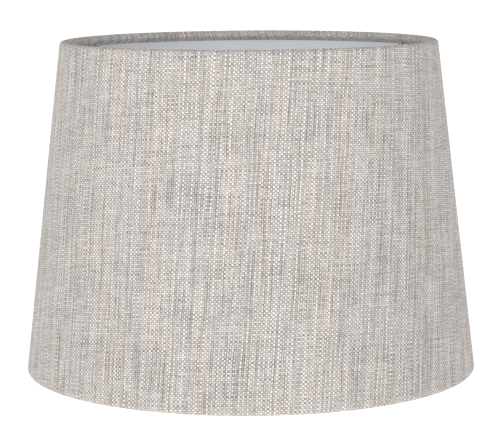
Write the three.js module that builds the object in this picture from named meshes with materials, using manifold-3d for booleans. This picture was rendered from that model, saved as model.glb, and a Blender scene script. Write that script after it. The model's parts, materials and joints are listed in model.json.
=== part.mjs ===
// A tapered hard-back lamp shade: woven cloth bonded to a stiff liner, rolled over two wire
// rings, with a three-arm carrier, a fitter ring and a loose reducer ring.
// Millimetres, +Z up. The origin is the middle of the bottom rim, and the front faces -Y.
import * as THREE from "three";
import { mergeVertices } from "three/addons/utils/BufferGeometryUtils.js";
import Module from "manifold-3d";

const wasm = await Module();
wasm.setup();

// ---- Overall sizes -------------------------------------------------------
const bottomDiameter = 300; // outside of the bottom hem
const topDiameter = 250; // outside of the top hem
const height = 220; // from rim to rim

// ---- Sheet goods and wire ------------------------------------------------
const clothThickness = 0.6;
const linerThickness = 0.4;
const tapeThickness = 0.2;
const ringWire = 3; // diameter of the wire in both rings
const spokeWire = 3; // diameter of the three arms
const layerGap = 0.2; // air between any two layers that lie on each other
const endGap = 0.3; // air where two ends or faces meet

// ---- Hems and the seam ---------------------------------------------------
const tuckAngle = rad(240); // where the turned-in cloth leaves the roll and runs to the liner
const tapeFrom = rad(-15); // the ring tape wraps the ring between these two angles
const tapeTo = rad(195);
const seamAngle = rad(20); // from +X towards +Y, so round the back, towards the right-hand side
const clothOverlap = 12; // how far the cloth laps over its own start
const linerOverlap = 10;
const lapWeld = 4; // length of the thickened strip that joins a lap to its sheet
const seamTapeWidth = 8;

// ---- Carrier -------------------------------------------------------------
const spokeAngles = { spoke_1: rad(-90), spoke_2: rad(30), spoke_3: rad(150) };
const spokeLean = rad(262); // direction in which an arm leaves the top ring: almost straight down
const spokeBend = 14; // radius of the bend where an arm turns level
const fitterDrop = 25; // top rim down to the fitter's top face
const fitterHole = 42;
const fitterLand = 7; // width of the flat steel round the hole
const fitterPlate = 1.5; // thickness of the pressed steel
const fitterSkirt = 6; // height of its turned-down edge

// ---- Reducer ring --------------------------------------------------------
const reducerBore = 29;
const reducerLap = 4; // how far the flange laps over the fitter, all round
const reducerFlangeThickness = 2;
const reducerSpigot = 5; // how far it reaches down through the fitter
const reducerClearance = 0.4; // all round, in the fitter's hole
const reducerChamfer = 0.6;

// ---- Facets --------------------------------------------------------------
const roundSteps = 60; // round the shade
const smallSteps = 48; // round the fitter and the reducer
const spokeSides = 8;
const spokeSteps = 24;
const clothStep = rad(30); // round a hem
const tapeStep = rad(42); // round a ring's tape
const wireStep = rad(45); // round a ring's wire

// ---- Places worked out from the sizes ------------------------------------
const ringRadius = ringWire / 2;
const tapeInner = ringRadius + layerGap;
const tapeOuter = tapeInner + tapeThickness;
const rollInner = tapeOuter + layerGap; // inner face of the cloth round the ring
const rollOuter = rollInner + clothThickness;
const linerRoom = linerThickness + layerGap; // the liner's edge lies between ring and cloth
const flatHalf = Math.sin(rad(75)); // a section's level facets lie at this share of its radius

// Each hem is drawn round two centres: the ring's, and one further out that makes room for the
// liner's edge between the ring and the cloth.
const bottomOuterArc = new THREE.Vector2(bottomDiameter / 2 - rollOuter, rollOuter * flatHalf);
const topOuterArc = new THREE.Vector2(topDiameter / 2 - rollOuter, height - rollOuter * flatHalf);
const rise = topOuterArc.y - bottomOuterArc.y;
const lean = Math.atan2(bottomOuterArc.x - topOuterArc.x, rise); // the wall's lean from upright
const along = new THREE.Vector2(-Math.sin(lean), Math.cos(lean)); // up the wall
const outward = new THREE.Vector2(Math.cos(lean), Math.sin(lean)); // square to the wall
const wallLength = bottomOuterArc.distanceTo(topOuterArc);
const ringShift = new THREE.Vector2(linerRoom / Math.cos(lean), 0);
const bottomRing = bottomOuterArc.clone().sub(ringShift);
const topRing = topOuterArc.clone().sub(ringShift);

const linerOuter = -clothThickness - layerGap; // both measured from the cloth's outer face
const linerInner = linerOuter - linerThickness;
const hemDepth = 3 * rollOuter; // laps stay this far from the ends of the wall

const fitterDiameter = fitterHole + 2 * fitterLand;
const fitterTop = height - fitterDrop;
const spokeLevel = fitterTop - fitterSkirt / 2;

function rad(degrees) {
  return THREE.MathUtils.degToRad(degrees);
}

// ---- Sections, as points (distance from the axis, height) ----------------

// A point up the wall and out from the cloth's outer face.
function wallPoint(up, out) {
  return bottomOuterArc
    .clone()
    .addScaledVector(outward, rollOuter + out)
    .addScaledVector(along, up);
}

function wallStrip(upFrom, upTo, outFrom, outTo) {
  return [
    wallPoint(upFrom, outFrom),
    wallPoint(upFrom, outTo),
    wallPoint(upTo, outTo),
    wallPoint(upTo, outFrom),
  ];
}

function polar(centre, radius, angle) {
  return new THREE.Vector2(
    centre.x + radius * Math.cos(angle),
    centre.y + radius * Math.sin(angle),
  );
}

function arc(centre, radius, from, to, step) {
  const steps = Math.max(1, Math.round(Math.abs(to - from) / step));
  return Array.from({ length: steps + 1 }, (_, i) =>
    polar(centre, radius, from + ((to - from) * i) / steps),
  );
}

// The end of the turned-in cloth: straight on from the roll to just short of the liner.
function tuckEnd(ring, radius, side) {
  const start = polar(ring, radius, side * tuckAngle);
  const heading = new THREE.Vector2(-Math.sin(tuckAngle), side * Math.cos(tuckAngle));
  const liner = wallPoint(0, linerInner - layerGap);
  const away = liner.clone().sub(start).dot(outward) / heading.dot(outward);
  return start.addScaledVector(heading, away);
}

// One face of the cloth at a hem, from the wall round the ring; side is 1 at the top rim and
// -1 at the bottom rim.
function hemFace(outerArc, ring, radius, side) {
  return [
    polar(outerArc, radius, lean),
    ...arc(outerArc, radius, side * rad(45), side * rad(75), clothStep),
    ...arc(ring, radius, side * rad(105), side * rad(225), clothStep),
    polar(ring, radius, side * tuckAngle),
    tuckEnd(ring, radius, side),
  ];
}

function clothSection() {
  const outside = [
    ...hemFace(bottomOuterArc, bottomRing, rollOuter, -1).reverse(),
    ...hemFace(topOuterArc, topRing, rollOuter, 1),
  ];
  const inside = [
    ...hemFace(bottomOuterArc, bottomRing, rollInner, -1).reverse(),
    ...hemFace(topOuterArc, topRing, rollInner, 1),
  ];
  return [...outside, ...inside.reverse()];
}

function tapeSection(ring, side) {
  const outer = arc(ring, tapeOuter, side * tapeFrom, side * tapeTo, tapeStep);
  const inner = arc(ring, tapeInner, side * tapeFrom, side * tapeTo, tapeStep);
  const section = [...outer, ...inner.reverse()];
  return side > 0 ? section : section.reverse();
}

function wireSection(ring) {
  return arc(ring, ringRadius, 0, rad(360) - wireStep, wireStep);
}

// ---- Solids --------------------------------------------------------------
function solidOf(geometry) {
  geometry.deleteAttribute("normal");
  geometry.deleteAttribute("uv");
  const merged = mergeVertices(geometry, 1e-4);
  return new wasm.Manifold(
    new wasm.Mesh({
      numProp: 3,
      vertProperties: new Float32Array(merged.attributes.position.array),
      triVerts: new Uint32Array(merged.index.array),
    }),
  );
}

// A section turned once round the shade's axis.
function turned(section, steps) {
  const closed = [...section, section[0]];
  const geometry = new THREE.LatheGeometry(closed, steps);
  geometry.rotateX(Math.PI / 2);
  return solidOf(geometry);
}

// All that lies between two angles round the axis.
function wedge(from, to) {
  const reach = 2 * Math.max(bottomDiameter, topDiameter);
  const shape = new THREE.Shape([
    new THREE.Vector2(0, 0),
    polar(new THREE.Vector2(), reach, from),
    polar(new THREE.Vector2(), reach, to),
  ]);
  const geometry = new THREE.ExtrudeGeometry(shape, { depth: 3 * height, bevelEnabled: false });
  geometry.translate(0, 0, -height);
  return solidOf(geometry);
}

// A sheet with a cut down the seam, and a lap that runs on past the cut. The lap lies between
// lapFrom and lapTo, and joins the sheet along a thickened strip before the cut.
function lapped(sheet, weld, lap, overlap) {
  const radius = (bottomDiameter + topDiameter) / 4;
  const cut = endGap / radius;
  const strip = turned(weld, roundSteps).intersect(wedge(seamAngle - lapWeld / radius, seamAngle));
  const flap = turned(lap, roundSteps).intersect(
    wedge(seamAngle - lapWeld / radius, seamAngle + overlap / radius),
  );
  return sheet.subtract(wedge(seamAngle, seamAngle + cut)).add(strip).add(flap);
}

// The slit that lets an arm out of the turned-in cloth. It runs from the arm's inner face, so
// that the rolled hem stays whole, to the turned-in edge by the liner.
function spokeSlit(angle) {
  const width = spokeWire + 2 * layerGap;
  const heading = polar(new THREE.Vector2(), 1, spokeLean);
  const away = new THREE.Vector2(heading.y, -heading.x);
  const innerFace = topRing.clone().addScaledVector(away, width / 2);
  const outerFace = wallPoint(0, linerOuter);
  const top = topRing.y - ringRadius;
  const bottom = top - 4 * rollOuter;
  const shape = new THREE.Shape([
    lineAt(outerFace, along, top),
    lineAt(innerFace, heading, top),
    lineAt(innerFace, heading, bottom),
    lineAt(outerFace, along, bottom),
  ]);
  const geometry = new THREE.ExtrudeGeometry(shape, { depth: width, bevelEnabled: false });
  geometry.translate(0, 0, -width / 2);
  geometry.rotateX(Math.PI / 2);
  geometry.rotateZ(angle);
  return solidOf(geometry);
}

// Where a line through a point meets a height.
function lineAt(point, heading, y) {
  return new THREE.Vector2(point.x + (heading.x * (y - point.y)) / heading.y, y);
}

function faceFabric() {
  const lapOut = layerGap + clothThickness;
  let cloth = lapped(
    turned(clothSection(), roundSteps),
    wallStrip(hemDepth, wallLength - hemDepth, -clothThickness / 2, lapOut),
    wallStrip(hemDepth, wallLength - hemDepth, layerGap, lapOut),
    clothOverlap,
  );
  for (const angle of Object.values(spokeAngles)) cloth = cloth.subtract(spokeSlit(angle));
  return cloth;
}

function pvcLiner() {
  const lapOuter = linerInner - 2 * layerGap - tapeThickness;
  const lapInner = lapOuter - linerThickness;
  return lapped(
    turned(wallStrip(0, wallLength, linerInner, linerOuter), roundSteps),
    wallStrip(hemDepth, wallLength - hemDepth, lapInner, linerInner + linerThickness / 2),
    wallStrip(hemDepth, wallLength - hemDepth, lapInner, lapOuter),
    linerOverlap,
  );
}

function seamTape() {
  const outer = linerInner - layerGap;
  const from = seamAngle + endGap / (topDiameter / 2);
  const strip = wallStrip(hemDepth, wallLength - hemDepth, outer - tapeThickness, outer);
  return turned(strip, roundSteps).intersect(wedge(from, from + seamTapeWidth / (topDiameter / 2)));
}

function fitterRing() {
  const hole = fitterHole / 2;
  const rim = fitterDiameter / 2;
  const wall = rim - fitterPlate;
  return turned(
    [
      new THREE.Vector2(hole, fitterTop - fitterPlate),
      new THREE.Vector2(wall, fitterTop - fitterPlate),
      new THREE.Vector2(wall, fitterTop - fitterSkirt),
      new THREE.Vector2(rim, fitterTop - fitterSkirt),
      new THREE.Vector2(rim, fitterTop - fitterPlate / 2),
      new THREE.Vector2(rim - fitterPlate / 2, fitterTop),
      new THREE.Vector2(hole, fitterTop),
    ],
    smallSteps,
  );
}

function reducerRing() {
  const bore = reducerBore / 2;
  const spigot = fitterHole / 2 - reducerClearance;
  const flange = fitterHole / 2 + reducerLap;
  const seat = fitterTop + endGap;
  const top = seat + reducerFlangeThickness;
  const foot = fitterTop - reducerSpigot;
  return turned(
    [
      new THREE.Vector2(bore, foot),
      new THREE.Vector2(spigot - reducerChamfer, foot),
      new THREE.Vector2(spigot, foot + reducerChamfer),
      new THREE.Vector2(spigot, seat),
      new THREE.Vector2(flange, seat),
      new THREE.Vector2(flange, top - reducerChamfer),
      new THREE.Vector2(flange - reducerChamfer, top),
      new THREE.Vector2(bore, top),
    ],
    smallSteps,
  );
}

// One arm, drawn in the XZ plane: out of the top ring, down, round a bend and level to the
// fitter's turned-down edge.
function spoke() {
  const at = (point) => new THREE.Vector3(point.x, 0, point.y);
  const drop = (topRing.y - spokeLevel) / -Math.sin(spokeLean);
  const corner = polar(topRing, drop, spokeLean);
  const reach = spokeBend * Math.tan((spokeLean - Math.PI) / 2);
  const start = polar(topRing, ringRadius + endGap, spokeLean);
  const bendStart = polar(topRing, drop - reach, spokeLean);
  const bendEnd = new THREE.Vector2(corner.x - reach, spokeLevel);
  const end = new THREE.Vector2(fitterDiameter / 2 + endGap, spokeLevel);
  const path = new THREE.CurvePath();
  path.add(new THREE.LineCurve3(at(start), at(bendStart)));
  path.add(new THREE.QuadraticBezierCurve3(at(bendStart), at(corner), at(bendEnd)));
  path.add(new THREE.LineCurve3(at(bendEnd), at(end)));
  const side = 2 * Math.PI / spokeSides;
  const section = new THREE.Shape(
    Array.from({ length: spokeSides }, (_, i) =>
      polar(new THREE.Vector2(), spokeWire / 2, (i + 0.5) * side),
    ),
  );
  const options = { extrudePath: path, steps: spokeSteps, bevelEnabled: false };
  return solidOf(new THREE.ExtrudeGeometry(section, options));
}

// ---- Finishes ------------------------------------------------------------
const woven = new THREE.MeshStandardMaterial({ color: 0xc6c0ba, roughness: 0.95, metalness: 0 });
const liner = new THREE.MeshStandardMaterial({ color: 0xe4e5e6, roughness: 0.5, metalness: 0 });
const tape = new THREE.MeshStandardMaterial({ color: 0xded8c6, roughness: 0.4, metalness: 0 });
const zinc = new THREE.MeshStandardMaterial({ color: 0xaaacae, roughness: 0.5, metalness: 0.9 });
const plastic = new THREE.MeshStandardMaterial({ color: 0xf4f3f0, roughness: 0.45, metalness: 0 });

// ---- The shade -----------------------------------------------------------
const group = new THREE.Group();

function addMesh(name, solid, material, angle = 0) {
  const { vertProperties, triVerts } = solid.getMesh();
  const geometry = new THREE.BufferGeometry();
  geometry.setAttribute("position", new THREE.BufferAttribute(vertProperties, 3));
  geometry.setIndex(new THREE.BufferAttribute(triVerts, 1));
  geometry.computeVertexNormals();
  const mesh = new THREE.Mesh(geometry, material);
  mesh.name = name;
  mesh.rotation.z = angle;
  group.add(mesh);
}

addMesh("face_fabric", faceFabric(), woven);
addMesh("pvc_liner", pvcLiner(), liner);
addMesh("seam_tape", seamTape(), tape);
addMesh("top_ring", turned(wireSection(topRing), roundSteps), zinc);
addMesh("bottom_ring", turned(wireSection(bottomRing), roundSteps), zinc);
addMesh("top_ring_tape", turned(tapeSection(topRing, 1), roundSteps), tape);
addMesh("bottom_ring_tape", turned(tapeSection(bottomRing, -1), roundSteps), tape);
for (const [name, angle] of Object.entries(spokeAngles)) addMesh(name, spoke(), zinc, angle);
addMesh("fitter_ring", fitterRing(), zinc);
addMesh("reducer_ring", reducerRing(), plastic);

export default group;
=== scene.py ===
"""A tapered hard-back lamp shade: linen-look cloth bonded to a white liner and rolled over two
wire rings, with three wire arms, a pressed fitter and a loose reducer ring."""

import json
import math

import bmesh
import bpy
from mathutils import Matrix, Vector
from mathutils.kdtree import KDTree

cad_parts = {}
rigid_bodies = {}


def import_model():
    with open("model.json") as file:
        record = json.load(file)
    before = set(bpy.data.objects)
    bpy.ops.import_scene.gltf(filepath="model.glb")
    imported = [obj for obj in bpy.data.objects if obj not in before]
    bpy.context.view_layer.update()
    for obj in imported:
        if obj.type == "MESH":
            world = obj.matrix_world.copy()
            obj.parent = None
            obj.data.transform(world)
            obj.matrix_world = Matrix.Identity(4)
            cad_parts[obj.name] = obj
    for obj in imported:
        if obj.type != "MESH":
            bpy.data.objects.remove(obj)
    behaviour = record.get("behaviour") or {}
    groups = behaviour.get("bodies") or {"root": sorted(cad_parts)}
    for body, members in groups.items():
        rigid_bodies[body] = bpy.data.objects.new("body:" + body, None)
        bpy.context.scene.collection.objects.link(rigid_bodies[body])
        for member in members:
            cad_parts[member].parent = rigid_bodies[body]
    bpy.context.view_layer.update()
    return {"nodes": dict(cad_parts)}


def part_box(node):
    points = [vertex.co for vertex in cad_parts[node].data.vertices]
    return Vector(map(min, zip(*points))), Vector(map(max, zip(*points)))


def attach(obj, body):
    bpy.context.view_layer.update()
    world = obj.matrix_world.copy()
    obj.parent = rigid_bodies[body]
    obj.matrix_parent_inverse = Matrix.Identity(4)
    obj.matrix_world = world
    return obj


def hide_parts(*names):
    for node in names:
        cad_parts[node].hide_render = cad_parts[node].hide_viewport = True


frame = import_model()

MM = 0.001
FULL_TURN = 2 * math.pi

# ---- Sizes read from the frame --------------------------------------------------------------
CLOTH_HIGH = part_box("face_fabric")[1]
FITTER_LOW, FITTER_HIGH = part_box("fitter_ring")
REDUCER_LOW, REDUCER_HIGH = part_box("reducer_ring")


def ring_place(node):
    """The middle of a wire ring's section, as distance from the axis and height, and the wire's
    radius."""
    low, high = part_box(node)
    wire = (high.z - low.z) / 2
    return Vector((high.x - wire, (high.z + low.z) / 2)), wire


TOP_RING, WIRE = ring_place("top_ring")
BOTTOM_RING, _ = ring_place("bottom_ring")
HEIGHT = CLOTH_HIGH.z
BOTTOM_RADIUS = CLOTH_HIGH.x
ROLL = HEIGHT - TOP_RING.y  # outer radius of a rolled hem
LINER_ROOM = BOTTOM_RADIUS - BOTTOM_RING.x - ROLL  # a hem is this much wider than it is high
LEAN = math.atan2(BOTTOM_RING.x - TOP_RING.x, TOP_RING.y - BOTTOM_RING.y)
UP_WALL = Vector((-math.sin(LEAN), math.cos(LEAN)))
OFF_WALL = Vector((math.cos(LEAN), math.sin(LEAN)))
APEX = BOTTOM_RADIUS / math.sin(LEAN)  # up the wall from its foot to the tip of its cone

# ---- Sizes of the sheet goods ---------------------------------------------------------------
CLOTH = 0.6 * MM
LINER = 0.4 * MM
LAYER_GAP = 0.2 * MM
SEAM = math.radians(20)  # where the cloth starts and ends: round the back, to the right
GRAIN = math.radians(-80)  # where the warp runs straight up the shade, just right of the front
COLUMNS = 288  # faces round the shade
COLUMN = FULL_TURN / COLUMNS
CLOTH_LAP = 12 * MM
LINER_LAP = 10 * MM
BUTT = 0.15 * MM  # the hems' ends meet with this fine gap
TUCK = math.radians(240)  # where the turned-in cloth leaves the roll

# ---- Where the arms stand, in degrees round from the X axis ---------------------------------
SPOKE_ANGLES = {"spoke_1": -90, "spoke_2": 30, "spoke_3": 150}

# ---- The cloth's threads --------------------------------------------------------------------
WARP_PITCH = 1.39 * MM  # upright threads
WEFT_PITCH = 1.29 * MM
SKEW = math.radians(4.7)  # the warp's lean across the weft


# ---- Small helpers --------------------------------------------------------------------------
def only(piece):
    """Selects this piece and nothing else."""
    for other in bpy.context.scene.objects:
        other.select_set(False)
    piece.select_set(True)
    bpy.context.view_layer.objects.active = piece


def edit(piece):
    """Opens a piece's mesh for work on its vertices."""
    only(piece)
    bpy.ops.object.mode_set(mode="EDIT")
    bpy.ops.mesh.select_mode(type="VERT")


def done():
    """Closes the mesh that is being worked on."""
    bpy.ops.object.mode_set(mode="OBJECT")


def mesh_in_hand():
    return bmesh.from_edit_mesh(bpy.context.object.data)


def pick(kind, wanted):
    """Selects the vertices, edges or faces for which wanted(element) is true."""
    work = mesh_in_hand()
    bpy.ops.mesh.select_all(action="DESELECT")
    bpy.ops.mesh.select_mode(type=kind)
    elements = {"VERT": work.verts, "EDGE": work.edges, "FACE": work.faces}[kind]
    for element in elements:
        if wanted(element):
            element.select = True
    work.select_flush_mode()
    bmesh.update_edit_mesh(bpy.context.object.data)


def modify(piece, kind, **settings):
    """Adds a modifier and applies it."""
    only(piece)
    modifier = piece.modifiers.new(kind.title(), kind)
    for name, value in settings.items():
        setattr(modifier, name, value)
    bpy.ops.object.modifier_apply(modifier=modifier.name)


def place_in_mesh(piece):
    """Puts a piece's place and turn into its mesh, so that it sits at the origin."""
    only(piece)
    bpy.ops.object.transform_apply(location=True, rotation=True, scale=True)


def push(step):
    """Extrudes what is selected by a step."""
    bpy.ops.mesh.extrude_region_move(TRANSFORM_OT_translate={"value": step})


def finish_faces(piece, angle):
    """Shades a piece smooth, except where its faces meet more sharply than the angle in degrees."""
    only(piece)
    bpy.ops.object.shade_smooth_by_angle(angle=math.radians(angle))


def polar(centre, radius, angle):
    return Vector((centre.x + radius * math.cos(angle), centre.y + radius * math.sin(angle)))


def arc(centre, radius, start, end, steps):
    return [polar(centre, radius, start + (end - start) * i / steps) for i in range(steps + 1)]


def at(point, angle):
    """A section's point, at an angle round the shade's axis."""
    return Vector((point.x * math.cos(angle), point.x * math.sin(angle), point.y))


# ---- Sheets that go round the shade ---------------------------------------------------------
LAP_STEPS = 4


def line_of(name, points):
    """A new piece that is a bare line of vertices: a small plane merged to a point, extruded."""
    bpy.ops.mesh.primitive_plane_add(size=MM, location=(0, 0, 0))
    piece = bpy.context.object
    piece.name = name
    edit(piece)
    bpy.ops.mesh.merge(type="CENTER")
    bpy.ops.transform.translate(value=points[0])
    for before, after in zip(points, points[1:]):
        push(after - before)
    return piece


def turn_of(place):
    """The angle from the seam, anticlockwise seen from above."""
    turn = (math.atan2(place.y, place.x) - SEAM) % FULL_TURN
    return 0 if turn > FULL_TURN - COLUMN / 4 else turn


def wrapped(name, section, lap_rows, lap, lap_step):
    """Spins a section once round from the seam. At the seam the two ends of the sheet meet, and
    between two rows of the section the end also laps over the start, raised by lap_step. Each
    vertex keeps how far it has gone round ("turn") and how far along the section it lies
    ("along")."""
    piece = line_of(name, [at(point, SEAM) for point in section])
    bpy.ops.mesh.select_all(action="SELECT")
    bpy.ops.mesh.spin(
        steps=COLUMNS - 1,
        angle=FULL_TURN - COLUMN,
        center=(0, 0, 0),
        axis=(0, 0, -1),
        use_auto_merge=False,
    )
    face_out()
    along = lengths_along(section)
    places = KDTree(len(section))
    for i, point in enumerate(section):
        places.insert((point.x, point.y, 0), i)
    places.balance()
    work = mesh_in_hand()
    turns = work.verts.layers.float.new("turn")
    alongs = work.verts.layers.float.new("along")
    for vert in work.verts:
        vert[turns] = turn_of(vert.co)
        vert[alongs] = along[places.find((vert.co.xy.length, vert.co.z, 0))[1]]
    end = max(vert[turns] for vert in work.verts)
    bmesh.update_edit_mesh(piece.data)
    low, high = (along[row] for row in lap_rows)
    middle = (section[0].x + section[-1].x) / 2
    carry_on(end, COLUMN - BUTT / middle, lambda place: not low < place < high)
    carry_on(end, COLUMN, lambda place: low < place < high)
    bpy.ops.transform.shrink_fatten(value=lap_step)
    end += COLUMN
    step = lap / middle / LAP_STEPS
    for _ in range(LAP_STEPS):
        carry_on(end, step, lambda place: True)
        end += step
    return piece


def carry_on(turn, swing, wanted):
    """Extrudes the sheet's edge at a turn further round, where wanted(place along) holds."""
    work = mesh_in_hand()
    turns = work.verts.layers.float["turn"]
    alongs = work.verts.layers.float["along"]
    close = COLUMN / 50

    def on_the_edge(edge):
        if any(abs(vert[turns] - turn) > close for vert in edge.verts):
            return False
        return edge.is_boundary and wanted(sum(vert[alongs] for vert in edge.verts) / 2)

    pick("EDGE", on_the_edge)
    bpy.ops.mesh.extrude_edges_move()
    spin = Matrix.Rotation(swing, 3, "Z")
    work = mesh_in_hand()
    turns = work.verts.layers.float["turn"]
    for vert in work.verts:
        if vert.select:
            vert.co = spin @ vert.co
            vert[turns] = turn + swing
    work.normal_update()
    bmesh.update_edit_mesh(bpy.context.object.data)


def lengths_along(section):
    """How far along a section each of its points lies."""
    lengths = [0.0]
    for before, after in zip(section, section[1:]):
        lengths.append(lengths[-1] + (after - before).length)
    return lengths


def face_out():
    """Turns the faces outwards, judged on the wall half way up."""
    bpy.ops.mesh.select_all(action="SELECT")
    bpy.ops.mesh.normals_make_consistent(inside=False)
    work = mesh_in_hand()
    middle = min(work.faces, key=lambda f: abs(f.calc_center_median().z - HEIGHT / 2))
    outward = middle.calc_center_median().copy()
    outward.z = 0
    if middle.normal.dot(outward) < 0:
        bpy.ops.mesh.flip_normals()


# ---- The face cloth -------------------------------------------------------------------------
HEM_STEPS = 14  # round the ring
ROOM_STEPS = 6  # from the wall to above or below the ring's middle
TAIL_STEPS = 3  # from the roll to the turned-in edge
SLIT_ROWS = TAIL_STEPS + 2  # rows in from the turned-in edge that the arms' slits reach
FOOT_ROW = TAIL_STEPS + HEM_STEPS + 1 + ROOM_STEPS  # the wall's first row, from the edge
WALL_ROWS = 54
HEM_ROWS = 2  # rows of the wall that the lap keeps clear of at each hem


def hem(ring, side):
    """The cloth's outer face round a hem, from the wall to the end of the turned-in cloth."""
    outer = ring + Vector((LINER_ROOM, 0))
    over = arc(outer, ROLL, LEAN, side * math.radians(90), ROOM_STEPS)
    points = over + arc(ring, ROLL, side * math.radians(90), side * TUCK, HEM_STEPS)
    heading = Vector((-math.sin(TUCK), side * math.cos(TUCK)))
    liner_face = wall_point(0, -CLOTH - LINER - 2 * LAYER_GAP)
    away = (liner_face - points[-1]).dot(OFF_WALL) / heading.dot(OFF_WALL)
    tail = points[-1]
    return points + [tail + heading * away * (i + 1) / TAIL_STEPS for i in range(TAIL_STEPS)]


def wall_point(up, out):
    """A point up the wall from its foot, and out from the cloth's outer face."""
    foot = BOTTOM_RING + Vector((LINER_ROOM, 0)) + OFF_WALL * ROLL
    return foot + UP_WALL * up + OFF_WALL * out


def cloth_section():
    """The cloth's outer face cut by a plane through the axis, from hem to hem."""
    top = hem(TOP_RING, 1)
    bottom = hem(BOTTOM_RING, -1)
    start, end = bottom[0], top[0]
    wall = [start.lerp(end, i / WALL_ROWS) for i in range(1, WALL_ROWS)]
    return bottom[::-1] + wall + top


CLOTH_SECTION = cloth_section()
CLOTH_LENGTHS = lengths_along(CLOTH_SECTION)
FOOT_LENGTH = CLOTH_LENGTHS[FOOT_ROW]


def cut_pattern(piece):
    """Lays the cloth out flat as it was cut, in metres: a ring sector, straight to the threads
    where the grain is."""
    straight = (GRAIN - SEAM) % FULL_TURN
    work = mesh_in_hand()
    turns = work.verts.layers.float["turn"]
    alongs = work.verts.layers.float["along"]
    cut = work.loops.layers.uv.new("cut")
    for face in work.faces:
        for loop in face.loops:
            slant = APEX - (loop.vert[alongs] - FOOT_LENGTH)
            swing = (loop.vert[turns] - straight) * math.sin(LEAN)
            loop[cut].uv = (slant * math.sin(swing), APEX - slant * math.cos(swing))
    bmesh.update_edit_mesh(piece.data)


def slit_for_arms():
    """Slits the turned-in cloth from its edge to where each arm comes through, as wide as the
    arm."""
    slit_foot = CLOTH_LENGTHS[-1 - SLIT_ROWS] - CLOTH / 2
    work = mesh_in_hand()
    turns = work.verts.layers.float["turn"]
    alongs = work.verts.layers.float["along"]
    places = [(math.radians(angle) - SEAM) % FULL_TURN for angle in SPOKE_ANGLES.values()]
    half_slit = (WIRE + LAYER_GAP) / TOP_RING.x
    for vert in work.verts:
        nearest = min(places, key=lambda place: abs(vert[turns] - place))
        aside = vert[turns] - nearest
        if vert[alongs] > slit_foot and COLUMN / 2 < abs(aside) < COLUMN * 1.5:
            swing = math.copysign(half_slit, aside) - aside
            vert.co = Matrix.Rotation(swing, 3, "Z") @ vert.co
            vert[turns] += swing

    def by_an_arm(face):
        turn = turn_of(face.calc_center_median())
        if not any(abs(turn - place) < COLUMN for place in places):
            return False
        return min(vert[alongs] for vert in face.verts) > slit_foot

    pick("FACE", by_an_arm)
    bpy.ops.mesh.delete(type="FACE")


# The bake sheet, from 0 to 1: two tiers for the outer face, and a strip each for the lap, the cut
# edges and the inner face, given as (lowest, depth).
SIDE = 0.002
TIERS = ((0.002, 0.451), (0.457, 0.451))
LAP_STRIP = (0.912, 0.024)
EDGE_STRIP = (0.940, 0.006)
INNER_STRIP = (0.950, 0.046)
ONCE_ROUND = 0.98  # one turn's share of a strip, since the lap goes on past it


def bake_sheet(piece, outer_count):
    """Lays the finished cloth out on one square sheet: the outer face in two half turns, one
    above the other, then the lap, the cut edges and the inner face in strips."""
    lap_turn = CLOTH_LAP / (BOTTOM_RADIUS * 0.9)
    edit(piece)
    work = mesh_in_hand()
    turns = work.verts.layers.float["turn"]
    alongs = work.verts.layers.float["along"]
    sheet = work.loops.layers.uv.new("OFBake")

    def spot(strip, across, up):
        low, deep = strip
        return (SIDE + across * (1 - 2 * SIDE), low + up * deep)

    for face in work.faces:
        outside = [vert.index < outer_count for vert in face.verts]
        middle = sum(vert[turns] for vert in face.verts) / len(face.verts)
        tier = int(2 * middle / FULL_TURN)
        for loop, is_outer in zip(face.loops, outside):
            turn = loop.vert[turns] / FULL_TURN
            up = loop.vert[alongs] / CLOTH_LENGTHS[-1]
            if all(outside) and tier < 2:
                place = spot(TIERS[tier], 2 * turn - tier, up)
            elif all(outside):
                place = spot(LAP_STRIP, up, (turn - 1) * FULL_TURN / lap_turn)
            elif any(outside):
                place = spot(EDGE_STRIP, (turn + up) * ONCE_ROUND / 2, float(is_outer))
            else:
                place = spot(INNER_STRIP, turn * ONCE_ROUND, up)
            loop[sheet].uv = place
    bmesh.update_edit_mesh(piece.data)
    done()


def face_cloth():
    """The cloth, rolled over both rings, lapped at the seam and turned in behind the liner."""
    last = len(CLOTH_SECTION) - 1
    lap_rows = (FOOT_ROW + HEM_ROWS, last - FOOT_ROW - HEM_ROWS)
    piece = wrapped("face_cloth", CLOTH_SECTION, lap_rows, CLOTH_LAP, CLOTH + LAYER_GAP)
    slit_for_arms()
    cut_pattern(piece)
    done()
    outer_count = len(piece.data.vertices)
    modify(piece, "SOLIDIFY", thickness=CLOTH, offset=-1, use_even_offset=True)
    bake_sheet(piece, outer_count)
    finish_faces(piece, 40)
    return piece


# ---- The liner ------------------------------------------------------------------------------
def liner():
    """A plain cone of sheet between the rings, with its own lap at the seam."""
    rows = 24
    outer = -CLOTH - LAYER_GAP
    wall = (TOP_RING - BOTTOM_RING).length
    section = [wall_point(wall * i / rows, outer) for i in range(rows + 1)]
    lap_step = -(LINER + 3 * LAYER_GAP)
    piece = wrapped("liner_panel", section, (1, rows - 1), LINER_LAP, lap_step)
    done()
    modify(piece, "SOLIDIFY", thickness=LINER, offset=-1, use_even_offset=True)
    finish_faces(piece, 40)
    return piece


# ---- Rings and arms -------------------------------------------------------------------------
WELD = 2 * MM  # how far an arm's weld reaches along it
ARM_LEAN = math.radians(82)  # the steep outer leg, from level
ARM_BEND = 14 * MM
ARM_SIDES = 20
ARM_ROWS = 6  # along the level leg
LEG_ROWS = 3  # up the steep leg
FITTER_SWELL = 1.25  # an arm's widths at its two welds, as shares of the wire's
RING_SWELL = 1.16
END_SWELL = 1.1


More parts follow.
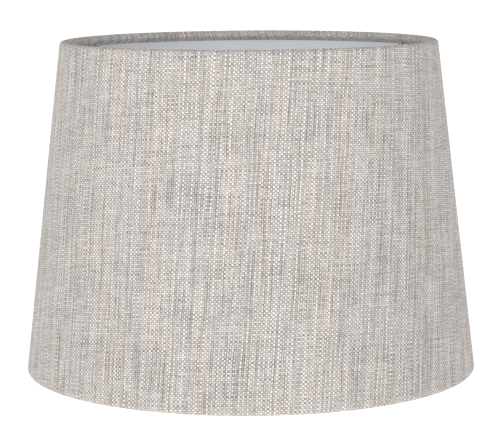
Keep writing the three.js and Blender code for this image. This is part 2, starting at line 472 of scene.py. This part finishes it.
def wire_ring(name, ring):
    """A wire ring, swollen a little where its two ends are welded together."""
    bpy.ops.mesh.primitive_torus_add(
        location=(0, 0, ring.y),
        major_radius=ring.x,
        minor_radius=WIRE,
        major_segments=COLUMNS,
        minor_segments=14,
    )
    piece = bpy.context.object
    piece.name = name
    edit(piece)
    weld = at(ring, SEAM) - Vector((0, 0, ring.y))
    reach = 3 * MM
    pick("VERT", lambda vert: (vert.co - weld).length < reach)
    bpy.ops.transform.shrink_fatten(value=0.1 * MM)
    done()
    place_in_mesh(piece)
    finish_faces(piece, 60)
    return piece


def arm():
    """One arm in the plane of the X axis, from the fitter out, round the bend and up to the
    top ring, with a weld at each end."""
    level = (FITTER_LOW.z + FITTER_HIGH.z) / 2
    start = FITTER_HIGH.x + 0.2 * MM
    inward = (TOP_RING.y - level) / math.tan(ARM_LEAN)
    bend_start = TOP_RING.x - inward - ARM_BEND * math.tan(ARM_LEAN / 2)
    bpy.ops.mesh.primitive_circle_add(
        vertices=ARM_SIDES,
        radius=WIRE,
        fill_type="NGON",
        location=(start, 0, level),
        rotation=(0, math.pi / 2, 0),
    )
    piece = bpy.context.object
    place_in_mesh(piece)
    edit(piece)
    bpy.ops.mesh.select_all(action="SELECT")
    weld_end(Vector((1, 0, 0)))
    run = bend_start - start - WELD
    for _ in range(ARM_ROWS):
        push(Vector((run / ARM_ROWS, 0, 0)))
    bpy.ops.mesh.spin(
        steps=16,
        angle=ARM_LEAN,
        center=(bend_start, 0, level + ARM_BEND),
        axis=(0, 1, 0),
        use_auto_merge=False,
    )
    heading = Vector((math.cos(ARM_LEAN), 0, math.sin(ARM_LEAN)))
    top = TOP_RING.y - (WIRE + 0.25 * MM) * math.sin(ARM_LEAN)
    bend_top = level + ARM_BEND * (1 - math.cos(ARM_LEAN))
    climb = (top - bend_top) / math.sin(ARM_LEAN) - WELD
    for _ in range(LEG_ROWS):
        push(heading * climb / LEG_ROWS)
    push(heading * WELD / 2)
    swell(RING_SWELL)
    push(heading * WELD / 2)
    swell(END_SWELL)
    bpy.ops.mesh.select_all(action="SELECT")
    bpy.ops.mesh.remove_doubles(threshold=0.01 * MM)
    bpy.ops.mesh.normals_make_consistent(inside=False)
    done()
    return piece


def swell(share):
    """Widens the selected end face about its middle."""
    work = mesh_in_hand()
    chosen = [vert.co for vert in work.verts if vert.select]
    middle = sum(chosen, Vector()) / len(chosen)
    bpy.ops.transform.resize(value=(share, share, share), center_override=middle)


def weld_end(heading):
    """The first stretch of an arm, widened by its weld."""
    swell(FITTER_SWELL)
    push(heading * WELD / 2)
    swell(1 / END_SWELL)
    push(heading * WELD / 2)
    swell(END_SWELL / FITTER_SWELL)


def arms():
    """Copies of one arm, turned to their places."""
    first = arm()
    made = []
    for name, angle in SPOKE_ANGLES.items():
        only(first)
        bpy.ops.object.duplicate()
        piece = bpy.context.object
        piece.name = name.replace("spoke", "arm")
        piece.rotation_euler.z = math.radians(angle)
        place_in_mesh(piece)
        finish_faces(piece, 50)
        made.append(piece)
    bpy.data.objects.remove(first)
    return made


# ---- Fitter and reducer ---------------------------------------------------------------------
def turned(name, section, steps):
    """A circle extruded and resized from point to point of a closed section."""
    first = section[0]
    bpy.ops.mesh.primitive_circle_add(vertices=steps, radius=first.x, location=(0, 0, first.y))
    piece = bpy.context.object
    piece.name = name
    place_in_mesh(piece)
    edit(piece)
    bpy.ops.mesh.select_all(action="SELECT")
    for before, after in zip(section, section[1:] + [first]):
        push(Vector((0, 0, after.y - before.y)))
        share = after.x / before.x
        bpy.ops.transform.resize(value=(share, share, 1), center_override=(0, 0, after.y))
    bpy.ops.mesh.select_all(action="SELECT")
    bpy.ops.mesh.remove_doubles(threshold=0.005 * MM)
    bpy.ops.mesh.normals_make_consistent(inside=False)
    return piece


FITTER_HOLE = 21 * MM
FITTER_STEEL = 1.5 * MM


def fitter():
    """Pressed steel: a flat land, a rounded shoulder and a short turned-down edge."""
    outer, top, foot = FITTER_HIGH.x, FITTER_HIGH.z, FITTER_LOW.z
    shoulder = 2 * MM
    edge = 0.35 * MM
    middle = Vector((outer - shoulder, top - shoulder))
    section = [
        Vector((FITTER_HOLE + edge, top)),
        *arc(middle, shoulder, math.radians(90), 0, 6),
        Vector((outer, foot + edge)),
        Vector((outer - edge, foot)),
        Vector((outer - FITTER_STEEL + edge, foot)),
        Vector((outer - FITTER_STEEL, foot + edge)),
        *arc(middle, shoulder - FITTER_STEEL, 0, math.radians(90), 4),
        Vector((FITTER_HOLE + edge, top - FITTER_STEEL)),
        Vector((FITTER_HOLE, top - FITTER_STEEL + edge)),
        Vector((FITTER_HOLE, top - edge)),
    ]
    piece = turned("pressed_fitter", section, 96)
    done()
    finish_faces(piece, 35)
    return piece


REDUCER_BORE = 14.5 * MM
REDUCER_SPIGOT = 20.6 * MM


def reducer():
    """Moulded plastic: a flange, dished between two raised lips, over a spigot."""
    outer, top, foot = REDUCER_HIGH.x, REDUCER_HIGH.z, REDUCER_LOW.z
    seat = FITTER_HIGH.z + 0.3 * MM
    soft = 0.5 * MM
    dish = 0.5 * MM
    lip = 1.6 * MM
    section = [
        Vector((REDUCER_BORE + soft, top)),
        Vector((REDUCER_BORE + lip, top)),
        Vector((REDUCER_BORE + lip + soft, top - dish)),
        Vector((outer - lip - soft, top - dish)),
        Vector((outer - lip, top)),
        Vector((outer - soft, top)),
        Vector((outer, top - soft)),
        Vector((outer, seat + soft / 2)),
        Vector((outer - soft / 2, seat)),
        Vector((REDUCER_SPIGOT, seat)),
        Vector((REDUCER_SPIGOT, foot + soft)),
        Vector((REDUCER_SPIGOT - soft, foot)),
        Vector((REDUCER_BORE + soft, foot)),
        Vector((REDUCER_BORE, foot + soft)),
        Vector((REDUCER_BORE, top - soft)),
    ]
    piece = turned("reducer", section, 96)
    done()
    modify(piece, "BEVEL", width=0.15 * MM, segments=2, limit_method="ANGLE")
    finish_faces(piece, 35)
    return piece


# ---- Finishes -------------------------------------------------------------------------------
class Finish:
    """A material, with short ways to add and join its nodes."""

    def __init__(self, name, **constants):
        self.material = bpy.data.materials.new(name)
        self.material.use_nodes = True
        self.tree = self.material.node_tree
        self.shader = self.tree.nodes["Principled BSDF"]
        for socket, value in constants.items():
            self.shader.inputs[socket.replace("_", " ")].default_value = value

    def node(self, kind, **settings):
        made = self.tree.nodes.new("ShaderNode" + kind)
        for name, value in settings.items():
            setattr(made, name, value)
        return made

    def feed(self, socket, value):
        if isinstance(value, bpy.types.NodeSocket):
            self.tree.links.new(value, socket)
        else:
            socket.default_value = value

    def sum(self, operation, *values):
        """One step of arithmetic on numbers or sockets."""
        made = self.node("Math", operation=operation)
        for socket, value in zip(made.inputs, values):
            self.feed(socket, value)
        return made.outputs[0]

    def point(self, x, y, z=0.0):
        made = self.node("CombineXYZ")
        for socket, value in zip(made.inputs, (x, y, z)):
            self.feed(socket, value)
        return made.outputs[0]

    def noise(self, place, scale=1.0, detail=2.0, rough=0.5):
        """Noise about 0, mostly between -0.5 and 0.5."""
        made = self.node("TexNoise")
        self.feed(made.inputs["Vector"], place)
        made.inputs["Scale"].default_value = scale
        made.inputs["Detail"].default_value = detail
        made.inputs["Roughness"].default_value = rough
        return self.sum("SUBTRACT", made.outputs["Fac"], 0.5)

    def chance(self, place):
        """A number from -0.5 to 0.5, drawn afresh at each place."""
        made = self.node("TexWhiteNoise")
        self.feed(made.inputs["Vector"], place)
        return self.sum("SUBTRACT", made.outputs["Value"], 0.5)

    def total(self, base, *shares):
        """base plus each (amount, weight) pair's product."""
        result = base
        for amount, weight in shares:
            result = self.sum("MULTIPLY_ADD", amount, weight, result)
        return result

    def within(self, value, low=0.0, high=1.0):
        return self.sum("MINIMUM", self.sum("MAXIMUM", value, low), high)

    def blend(self, share, first, second, mode="MIX"):
        made = self.node("Mix", data_type="RGBA", blend_type=mode)
        self.feed(made.inputs[0], share)
        self.feed(made.inputs[6], first)
        self.feed(made.inputs[7], second)
        return made.outputs[2]

    def bump(self, height, distance, strength=1.0):
        made = self.node("Bump")
        made.inputs["Strength"].default_value = strength
        made.inputs["Distance"].default_value = distance
        self.feed(made.inputs["Height"], height)
        self.feed(self.shader.inputs["Normal"], made.outputs[0])

    def colour(self, value):
        self.feed(self.shader.inputs["Base Color"], value)

    def objects_place(self):
        return self.node("TexCoord").outputs["Object"]


COOL_YARN = (0.656, 0.641, 0.624, 1)
WARM_YARN = (0.712, 0.638, 0.592, 1)
# The colour of the painted shade in the low places between threads.
GAP_SHADE_COLOUR = (0.17, 0.152, 0.138, 1)
WARP_LIGHT = 1.19
WEFT_LIGHT = 0.85
DARKEST, LIGHTEST = 0.25, 1.5
# Painted shade on the turned-in cloth under each roll, where the underside is in shadow.
TUCK_SHADE_TINT = (0.80, 0.785, 0.76, 1)
TUCK_SHADE_FROM = 6.6 * MM  # where the painted shade on the turned-in cloth starts, in from the cut edge, along the cloth
# where the painted shade on the turned-in cloth is at its darkest
TUCK_SHADE_FULL = 4.8 * MM


def every_other(f, number):
    """1 for the even threads, 0 for the odd."""
    return f.sum("LESS_THAN", f.sum("FRACT", f.sum("MULTIPLY", number, 0.5)), 0.25)


def rounded(f, count):
    """How high a thread stands: 1 along its middle, 0 at its edges."""
    return f.sum("SINE", f.sum("MULTIPLY", f.sum("FRACT", count), math.pi))


def crossing(f, over, under):
    """The height where one thread goes over another, which props it up."""
    return f.sum("MULTIPLY", over, f.sum("MULTIPLY_ADD", under, 0.4, 0.6))


def strands(f, long_way, short_way):
    """The fibres within a thread, which run along it."""
    return f.noise(f.point(long_way, f.sum("MULTIPLY", short_way, 6), 0.0), 900, 2)


def painted_gap_shade(f, count, along, seed, scale, often):
    """Painted shade in the gap between two neighbouring threads, where they have drawn apart: how
    dark it is. A smaller scale makes it longer, and a higher often makes it commoner."""
    shifted = f.sum("ADD", count, 0.5)
    beside = f.sum("ABSOLUTE", f.sum("SUBTRACT", f.sum("FRACT", shifted), 0.5))
    close = f.sum("MAXIMUM", f.sum("MULTIPLY_ADD", beside, -3.6, 1.0), 0.0)
    number = f.sum("MULTIPLY", f.sum("FLOOR", shifted), 3.7)
    width = f.total(often, (f.noise(f.point(number, along, seed), scale, 2), 6.0))
    return f.sum("MULTIPLY", close, f.within(width))


def woven_linen():
    """Tabby weave of uneven, slubby threads in mixed grey, pink-beige and near-white. Every other
    warp thread is a darker yarn."""
    f = Finish("woven_linen", Roughness=0.92, Specular_IOR_Level=0.15, Sheen_Weight=0.12)
    cut = f.node("UVMap", uv_map="cut").outputs[0]
    parts = f.node("SeparateXYZ")
    f.feed(parts.inputs[0], cut)
    across, up = parts.outputs[0], parts.outputs[1]

    # Threads counted across and up the cloth, each wandering a little from its straight line.
    wander = f.sum("MULTIPLY", f.noise(cut, 30, 3), 1.3)
    drift = f.sum("MULTIPLY", f.noise(f.point(up, across, 3.0), 34, 3), 1.2)
    leaning = f.sum("SUBTRACT", across, f.sum("MULTIPLY", up, math.tan(SKEW)))
    warp = f.sum("ADD", f.sum("DIVIDE", leaning, WARP_PITCH), wander)
    weft = f.sum("ADD", f.sum("DIVIDE", up, WEFT_PITCH), drift)
    warp_number, weft_number = f.sum("FLOOR", warp), f.sum("FLOOR", weft)
    odd_warp = every_other(f, warp_number)
    warp_over = every_other(f, f.sum("ADD", warp_number, weft_number))

    def either(first, second):
        """first where the warp lies on top, second where the weft does."""
        return f.sum("MULTIPLY_ADD", f.sum("SUBTRACT", first, second), warp_over, second)

    # The warp is the flatter of the two.
    warp_round = f.sum("POWER", rounded(f, warp), 0.5)
    weft_round = rounded(f, weft)
    height = either(crossing(f, warp_round, weft_round), crossing(f, weft_round, warp_round))

    # Slubs: each thread is lighter or darker over long stretches, alone or with its neighbours.
    warp_slub = f.noise(f.point(f.sum("MULTIPLY", warp_number, 7.31), up, 0.0), 26, 1)
    warp_yarn = f.chance(f.point(warp_number, 4.0))
    weft_slub = f.noise(f.point(f.sum("MULTIPLY", weft_number, 5.17), across, 9.0), 40, 1)
    each_crossing = f.chance(f.point(warp_number, weft_number, 1.0))

    strand = either(strands(f, up, across), strands(f, across, up))
    # Painted shade in the gaps where neighbouring threads have drawn apart.
    warp_gap_shade = painted_gap_shade(f, warp, up, 12.0, 20, 0.0)
    weft_gap_shade = painted_gap_shade(f, weft, across, 15.0, 45, -0.35)

    # Lightness: the warp yarn is the paler, every other warp thread a little darker.
    on_warp = f.total(WARP_LIGHT, (warp_slub, 1.3), (warp_yarn, 0.44))
    on_weft = f.total(WEFT_LIGHT, (weft_slub, 0.9))
    light = f.total(either(on_warp, on_weft), (each_crossing, 0.28), (odd_warp, -0.13))
    # The painted shade darkens the gaps, and the fibres streak along each thread.
    light = f.total(light, (warp_gap_shade, -0.85), (weft_gap_shade, -0.5), (strand, 0.5))
    light = f.within(light, DARKEST, LIGHTEST)

    # Colour drifts between a cool and a warm yarn, in patches a few threads wide and tall.
    patch = f.point(f.sum("MULTIPLY", warp, 0.15), f.sum("MULTIPLY", up, 6), 8.0)
    hue = f.within(f.total(0.5, (f.noise(patch, 1, 2), 2.2)))
    yarn = f.blend(hue, COOL_YARN, WARM_YARN)
    bright = f.blend(1.0, yarn, f.point(light, light, light), "MULTIPLY")
    # Painted shade: the colour falls to the gap colour where a thread stands low, at its edges and
    # between threads.
    unshaded_share = f.sum("POWER", f.sum("MAXIMUM", height, 0.0), 0.6)
    cloth = f.blend(unshaded_share, GAP_SHADE_COLOUR, bright)
    # Painted shade darkens the turned-in edges under the rolls.
    f.colour(f.blend(tuck_shade(f, cut), cloth, TUCK_SHADE_TINT, "MULTIPLY"))
    f.bump(height, 0.25 * MM, 0.7)
    return f.material


def tuck_shade(f, cut):
    """0 over the cloth, rising to 1 on the turned-in edges: painted shade, where the cloth tucks
    under the roll and its underside is in shadow.
    """
    half = CLOTH_LENGTHS[-1] / 2
    middle = APEX + FOOT_LENGTH - half
    slant = f.node("VectorMath", operation="DISTANCE")
    f.feed(slant.inputs[0], cut)
    f.feed(slant.inputs[1], (0, APEX, 0))
    from_middle = f.sum("ABSOLUTE", f.sum("SUBTRACT", slant.outputs["Value"], middle))
    inside = f.sum("SUBTRACT", from_middle, half - TUCK_SHADE_FROM)
    return f.within(f.sum("DIVIDE", inside, TUCK_SHADE_FROM - TUCK_SHADE_FULL))


def liner_sheet():
    """White PVC sheet: satin, faintly cloudy and not quite flat."""
    f = Finish("liner_sheet", Roughness=0.42, Specular_IOR_Level=0.4)
    place = f.objects_place()
    tone = f.total(0.5, (f.noise(place, 40, 3), 0.5))
    f.colour(f.blend(tone, (0.645, 0.66, 0.685, 1), (0.73, 0.745, 0.77, 1)))
    f.bump(f.noise(place, 260, 2), 0.05 * MM, 0.4)
    return f.material


def zinc_plated_steel():
    """Steel under dull grey zinc plate, with its crystals as faint patches."""
    f = Finish("zinc_plated_steel", Metallic=0.85, Roughness=0.48)
    place = f.objects_place()
    patches = f.noise(place, 220, 4, 0.65)
    tone = f.total(0.5, (f.noise(place, 45, 2), 0.7), (patches, 1.1))
    f.colour(f.blend(tone, (0.32, 0.33, 0.34, 1), (0.46, 0.47, 0.48, 1)))
    f.feed(f.shader.inputs["Roughness"], f.total(0.5, (patches, 0.3)))
    f.bump(f.noise(place, 1100, 2), 0.04 * MM, 0.5)
    return f.material


def moulded_plastic():
    """White moulded plastic with a fine spark-eroded texture."""
    f = Finish("moulded_plastic", Roughness=0.5, Specular_IOR_Level=0.45)
    place = f.objects_place()
    tone = f.total(0.5, (f.noise(place, 60, 3), 0.6))
    f.colour(f.blend(tone, (0.80, 0.79, 0.76, 1), (0.88, 0.87, 0.85, 1)))
    f.bump(f.noise(place, 1600, 2), 0.05 * MM, 0.6)
    return f.material


def clear_tape():
    """Double-sided tape, a little yellow, with cloudy patches where it has lifted."""
    f = Finish("clear_tape", Roughness=0.3, Specular_IOR_Level=0.5)
    tone = f.total(0.5, (f.noise(f.objects_place(), 120, 3), 1.2))
    f.colour(f.blend(tone, (0.66, 0.63, 0.53, 1), (0.78, 0.76, 0.70, 1)))
    return f.material


def dress(piece, material):
    """Gives a piece one finish and no other."""
    piece.data.materials.clear()
    piece.data.materials.append(material)


# ---- Stage ----------------------------------------------------------------------------------
CAMERA_PLACE = Vector((0, -1377.8 * MM, 292.3 * MM))
CAMERA_PITCH = math.radians(8.055)  # downwards
CAMERA_ROLL = math.radians(-0.37)
CAMERA_LENS = 149.6
CAMERA_SENSOR = 36
DAYLIGHT = 0.51
FLOOR_GLOW = 0.66
SOFT_BOX = 1.6


def camera():
    made = bpy.data.cameras.new("camera")
    made.lens = CAMERA_LENS
    made.sensor_width = CAMERA_SENSOR
    holder = bpy.data.objects.new("camera", made)
    upright = Matrix.Rotation(math.pi / 2 - CAMERA_PITCH, 4, "X")
    look = upright @ Matrix.Rotation(CAMERA_ROLL, 4, "Z")
    holder.matrix_world = Matrix.Translation(CAMERA_PLACE) @ look
    bpy.context.scene.collection.objects.link(holder)
    bpy.context.scene.camera = holder


def lamp(name, place, power):
    """A large soft light that faces the shade."""
    made = bpy.data.lights.new(name, "AREA")
    made.size = SOFT_BOX
    made.energy = power
    holder = bpy.data.objects.new(name, made)
    place = Vector(place)
    aim = Vector((0, 0, HEIGHT / 2)) - place
    look = aim.to_track_quat("-Z", "Y").to_matrix().to_4x4()
    holder.matrix_world = Matrix.Translation(place) @ look
    bpy.context.scene.collection.objects.link(holder)


def floor():
    bpy.ops.mesh.primitive_plane_add(size=60, location=(0, 0, -0.3 * MM))
    piece = bpy.context.object
    piece.name = "floor"
    f = Finish("pale_floor", Roughness=0.9, Specular_IOR_Level=0.0)
    f.colour((0.9, 0.9, 0.9, 1))
    f.shader.inputs["Emission Color"].default_value = (1, 1, 1, 1)
    f.shader.inputs["Emission Strength"].default_value = FLOOR_GLOW
    dress(piece, f.material)


def daylight():
    world = bpy.data.worlds.new("studio")
    bpy.context.scene.world = world
    world.use_nodes = True
    sky = world.node_tree.nodes["Background"]
    sky.inputs[0].default_value = (1, 1, 1, 1)
    sky.inputs[1].default_value = DAYLIGHT


# ---- Building the shade ---------------------------------------------------------------------
camera()
daylight()
floor()
lamp("key", (-1.2, -2.2, 1.0), 22)
lamp("fill", (1.4, -2.2, 0.6), 13.5)
bpy.context.scene.view_settings.view_transform = "Standard"

linen, pvc, zinc = woven_linen(), liner_sheet(), zinc_plated_steel()
plastic, tape = moulded_plastic(), clear_tape()

cloth = face_cloth()
dress(cloth, linen)
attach(cloth, "shade")
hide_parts("face_fabric")

panel = liner()
dress(panel, pvc)
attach(panel, "shade")
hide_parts("pvc_liner")

for node, ring in (("top_ring", TOP_RING), ("bottom_ring", BOTTOM_RING)):
    wire = wire_ring(node + "_wire", ring)
    dress(wire, zinc)
    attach(wire, "shade")
    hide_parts(node)

for node, piece in zip(SPOKE_ANGLES, arms()):
    dress(piece, zinc)
    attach(piece, "shade")
    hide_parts(node)

steel = fitter()
dress(steel, zinc)
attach(steel, "shade")
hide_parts("fitter_ring")

loose_ring = reducer()
dress(loose_ring, plastic)
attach(loose_ring, "reducer")
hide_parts("reducer_ring")

for node in ("seam_tape", "top_ring_tape", "bottom_ring_tape"):
    dress(frame["nodes"][node], tape)
